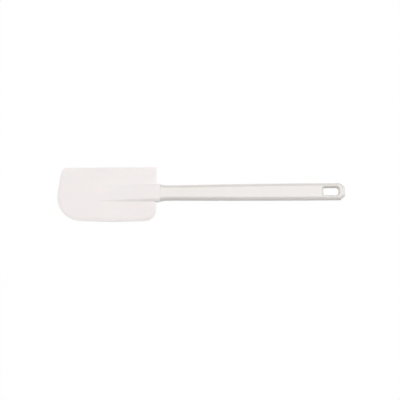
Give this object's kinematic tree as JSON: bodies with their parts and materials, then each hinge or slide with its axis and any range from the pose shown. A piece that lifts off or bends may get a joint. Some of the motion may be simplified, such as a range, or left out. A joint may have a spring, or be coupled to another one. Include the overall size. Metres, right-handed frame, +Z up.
{
  "type": "bowl scraper",
  "caption": "White bowl scraper: a flexible bevelled blade with one square and one rounded front corner, moulded over the tang of a long rigid handle that ends in a hanging hole.",
  "frame": {"origin": "on the surface that the scraper lies on, under the middle of its whole length and width", "axes": "+X along the handle from the blade's nose to the hanging end, +Y towards the blade's straight upper edge, +Z up from the flat back"},
  "size_m": [0.343, 0.0661, 0.0094],
  "materials": {
    "blade_rubber": "smooth satin moulded rubber, slightly milky",
    "handle_plastic": "satin moulded plastic, off-white"
  },
  "bodies": {
    "root": {"blade": "blade_rubber", "handle": "handle_plastic"}
  },
  "joints": []
}
